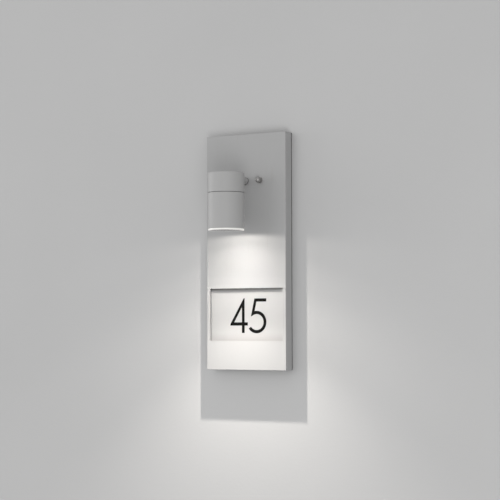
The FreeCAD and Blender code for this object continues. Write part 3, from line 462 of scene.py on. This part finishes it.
def film_figure(name, *outlines):
    """A figure of film from its outlines, each a row of points."""
    drawn = bpy.data.curves.new(name, "CURVE")
    drawn.dimensions = "2D"
    drawn.fill_mode = "BOTH"
    drawn.extrude = FILM / 2
    for outline in outlines:
        line = drawn.splines.new("POLY")
        line.points.add(len(outline) - 1)
        for point, (across, down) in zip(line.points, outline):
            point.co = (across / 1000, HOUSING_TOP - down / 1000, 0.0, 1.0)
        line.use_cyclic_u = True
    flat = bpy.data.objects.new(name + "_line", drawn)
    bpy.context.scene.collection.objects.link(flat)
    filled = flat.evaluated_get(bpy.context.evaluated_depsgraph_get())
    film = bpy.data.meshes.new_from_object(filled)
    bpy.data.objects.remove(flat)
    upright = Matrix.Rotation(math.radians(90), 4, "X")
    film.transform(Matrix.Translation((0, plate_low.y - FILM / 2, 0)) @ upright)
    film.materials.clear()
    film.materials.append(black_film)
    figure = bpy.data.objects.new(name, film)
    bpy.context.scene.collection.objects.link(figure)
    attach(figure, "cover")


TOP, FOOT = 250.6, 303.6
STEM_LEFT, STEM_RIGHT = -9.4, -4.6
BAR_TOP, BAR_FOOT = 287.4, 292.4
BAR_LEFT, BAR_RIGHT = -30.0, 1.1
film_figure(
    "numeral_4",
    [(STEM_RIGHT, TOP), (STEM_RIGHT, BAR_TOP), (BAR_RIGHT, BAR_TOP), (BAR_RIGHT, BAR_FOOT),
     (STEM_RIGHT, BAR_FOOT), (STEM_RIGHT, FOOT), (STEM_LEFT, FOOT), (STEM_LEFT, BAR_FOOT),
     (BAR_LEFT, BAR_FOOT), (BAR_LEFT, 289.9), (-6.1, TOP)],
    [(-23.1, BAR_TOP), (STEM_LEFT, BAR_TOP), (STEM_LEFT, 264.4)],
)
FLAG_TOP, FLAG_FOOT, FLAG_RIGHT = 251.2, 256.1, 33.7
BOWL = (16.7, 287.1)
OUTSIDE, INSIDE = 17.1, 12.1
film_figure(
    "numeral_5",
    [(12.8, FLAG_TOP), (FLAG_RIGHT, FLAG_TOP), (FLAG_RIGHT, FLAG_FOOT), (16.4, FLAG_FOOT),
     (13.1, 270.7)]
    + arc_points(BOWL, OUTSIDE, first=-102.0, last=145.0, count=40)
    + arc_points(BOWL, INSIDE, first=145.0, last=-124.0, count=36)
    + [(6.5, 278.7)],
)

# Arm
# Aluminium rod, drilled for the leads and coated like the housing. A nut and a toothed washer
# clamp it in the housing's face on a rubber seal, and a grub screw holds it in the cap.
place = new_finish("silver_coat_on_turned_metal")
lathe_lines = place.stretched(0.03, 0.03, 1.0).clouds(0.0004, 1.0)
cured = place.clouds(0.0009, 1.0)
grain = place.clouds(GRAIN_SIZE, 1.0)
tone = place.clouds(0.04, 3.0) * 0.5 + place.flakes(FLAKE_SIZE) * 0.2 + grain * 0.3
dust = place.dust(0.005, 0.6) * 0.5
silver_coat = place.surface(
    base_color=dust.blend(tone.blend(grey(0.345, 0.004), grey(0.372, 0.004)), DUST),
    roughness=place.clouds(0.01) * 0.12 + dust * 0.2 + 0.42,
    specular_ior_level=0.35,
    normal=grain.raised(0.000002, (cured * 0.7 + lathe_lines * 0.3).raised(0.000010)),
)
dress(silver_coat, "arm")
dress(moulded_rubber, "arm_seal")
dress(zinc_plated_steel, "arm_lock_washer", "arm_nut", "arm_grub_screw")

# Spot cap
# The top of the spot, an aluminium casting that is turned on its outside and coated. It carries
# the arm's end, the lamp holder and the sleeve.
dress(silver_coat, "spot_cap")

# Lamp holder
# A two-pin holder of glazed white ceramic, held under the cap by two screws. The lamp's pins turn
# in its two curved slots.
SPECK = (0.30, 0.24, 0.18, 1.0)
place = new_finish("glazed_ceramic")
specks = 1 - place.pits(0.0022).share(0.03, 0.09)
glaze = place.clouds(0.006).blend(grey(0.66, 0.015), grey(0.72, 0.015))
dress(place.surface(
    base_color=(specks * 0.6).blend(glaze, SPECK),
    roughness=place.clouds(0.003) * 0.12 + 0.16,
    normal=place.clouds(0.0015).raised(0.00003),
), "lamp_holder")
dress(zinc_plated_steel, "holder_screws")

# Lamp leads
# Two heatproof leads with braided sleeving, brown and blue, that run from the holder through the
# arm to the terminal block.
BLUE_DARK, BLUE = (0.010, 0.040, 0.17, 1.0), (0.025, 0.085, 0.30, 1.0)
BROWN_DARK, BROWN = (0.060, 0.024, 0.012, 1.0), (0.135, 0.058, 0.028, 1.0)
BETWEEN_LEADS = 0.0004
place = new_finish("lead_insulation")
live = place.along("X").share(-BETWEEN_LEADS, BETWEEN_LEADS)
braid = place.stretched(1.0, 1.0, 0.6).pits(0.00035)
braid_pit_shade = braid.share(0.1, 0.6)
# The braid's pits are painted darker than its strands: painted shade.
dress(place.surface(
    base_color=live.blend(braid_pit_shade.blend(BLUE_DARK, BLUE), braid_pit_shade.blend(BROWN_DARK, BROWN)),
    roughness=braid_pit_shade * 0.15 + 0.45,
    normal=braid.raised(0.00005),
), "lamp_leads")

# Lamp
# A 50 mm reflector lamp: a white lacquered shell, a lens moulded with small cells and two headed
# pins that lock in the holder with an eighth of a turn. It is on.
SPOT_AXIS = (0.0, -0.077)
SHELL_COOL, SHELL_HOT = 0.050, 0.088
SCORCHED = (0.66, 0.62, 0.54, 1.0)
LENS_DIM, LENS_BRIGHT = (0.42, 0.35, 0.28, 1.0), (1.0, 0.94, 0.85, 1.0)
place = new_finish("white_lamp_lacquer")
heat = place.along("Z").share(SHELL_COOL, SHELL_HOT) * place.clouds(0.012, 3.0).share(0.3, 0.7)
dress(place.surface(
    base_color=heat.blend(grey(0.73, 0.01), SCORCHED),
    roughness=place.clouds(0.004) * 0.12 + 0.28,
    normal=place.clouds(0.0012, 1.0).raised(0.000012),
), "lamp_shell")

place = new_finish("glowing_cell_lens")
lens_cells = place.stretched(1.0, 1.0, 0.0).pits(0.0032)
off_axis = place.stretched(1.0, 1.0, 0.0).distance((*SPOT_AXIS, 0.0))
glow = (1 - off_axis.share(0.004, 0.026)) * 0.6 + (1 - lens_cells.share(0.0, 0.8)) * 0.4
dress(place.surface(
    base_color=grey(0.45),
    roughness=0.22,
    normal=lens_cells.raised(0.0004),
    emission_color=glow.blend(LENS_DIM, LENS_BRIGHT),
    emission_strength=0.8,
), "lamp_lens")
dress(turned_stainless, "lamp_pins")

# Sleeve
# The lower tube of the spot, turned from aluminium tube and coated. It slides up over the cap's
# neck against a rubber ring, which shows as the thin dark joint.
dress(silver_coat, "sleeve")
dress(moulded_rubber, "sleeve_seal")

# Front glass, its gasket and its ring
# A moulded glass disc whose neck goes up through the sleeve's lip into a spring steel ring. Its
# brim sits on a silicone gasket below the sleeve and glows, as light runs out to its edge.
GLASS_INDEX = 1.45
EDGE_FROM, EDGE_TO = 0.0261, 0.0268
LIT_FROM, LIT_TO = 0.0195, 0.0266
GLASS_EDGE = (0.42, 0.44, 0.43, 1.0)
UNLIT, RIM_LIGHT = (0.0, 0.0, 0.0, 1.0), (1.0, 0.95, 0.90, 1.0)
place = new_finish("moulded_glass")
off_axis = place.stretched(1.0, 1.0, 0.0).distance((*SPOT_AXIS, 0.0))
outside = 1 - place.node("ShaderNodeNewGeometry").output("Backfacing")
# Seen from inside the glass, the edge keeps a dark colour and no glow: painted shade on its inner
# faces.
edge = off_axis.share(EDGE_FROM, EDGE_TO) * outside
lit_rim = off_axis.share(LIT_FROM, LIT_TO) * outside
ripple = place.clouds(0.006, 2.0)
slant = place.node("ShaderNodeFresnel", {}, {"IOR": GLASS_INDEX})
clear = slant * outside * 0.7 + ripple * 0.05 + 0.04
dress(place.surface(
    base_color=edge.blend(grey(0.06), GLASS_EDGE),
    roughness=ripple * 0.06 + edge * 0.25 + 0.02,
    alpha=place.worked("MAXIMUM", clear, lit_rim * 0.95),
    normal=ripple.raised(0.00002),
    emission_color=(lit_rim * lit_rim).blend(UNLIT, RIM_LIGHT),
    emission_strength=0.46,
), "front_glass")

place = new_finish("clear_silicone")
dress(place.surface(
    base_color=place.clouds(0.004, 3.0).blend(grey(0.50, 0.01), grey(0.58, 0.01)),
    roughness=place.clouds(0.0008) * 0.15 + 0.35,
    normal=place.clouds(0.0006).raised(0.00002),
), "glass_gasket")
dress(turned_stainless, "retaining_ring")

# Cap nuts
# Two domed nuts with washers, cold formed from stainless steel and barrel finished to a satin.
# They clamp the housing on the studs.
place = new_finish("satin_stainless")
tumbled = place.clouds(0.0007, 3.0)
scuffs = place.stretched(1.0, 0.3, 1.0).clouds(0.00015)
dress(place.surface(
    base_color=tumbled.blend(grey(0.32, 0.02), grey(0.44, 0.015)),
    metallic=1.0,
    roughness=tumbled * 0.12 + scuffs * 0.1 + 0.34,
    normal=scuffs.raised(0.000006),
), "nut_washers", "cap_nut_left", "cap_nut_right")

# Lamp's light
# An oval beam with a wider glow round it, from just under the lens, that the spot's foot and the
# window's edge cut. The last cone is the weak light that the glass scatters sideways.
LAMP_TINT = (1.0, 0.95, 0.89)
SOURCE_HEIGHT, SOURCE_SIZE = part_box("lamp_lens")[0].z - 0.0026, 0.0024
SCATTER_HEIGHT, SCATTER_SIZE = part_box("front_glass")[0].z - 0.0007, 0.003


def cone_of_light(name, height, size, angle, border, wide, watts):
    """A downward cone from a small round source, stretched along the wall, that rides the lamp."""
    light = bpy.data.lights.new(name, "SPOT")
    light.spot_size = math.radians(angle)
    light.spot_blend = border
    light.shadow_soft_size = size
    light.energy = watts
    light.color = LAMP_TINT
    cone = bpy.data.objects.new(name, light)
    bpy.context.scene.collection.objects.link(cone)
    cone.location = (*SPOT_AXIS, height)
    cone.scale = (wide, 1.0, 1.0)
    cone.visible_camera = False
    cone.visible_glossy = False
    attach(cone, "lamp")


for name, angle, wide, watts in (
    ("beam", 50, 2.4, 12.2),
    ("inner_glow", 80, 3.2, 2.6),
    ("outer_glow", 130, 2.3, 0.88),
):
    cone_of_light(name, SOURCE_HEIGHT, SOURCE_SIZE, angle, 1.0, wide, watts)
cone_of_light("scattered", SCATTER_HEIGHT, SCATTER_SIZE, 180, border=0.1, wide=0.5, watts=0.22)
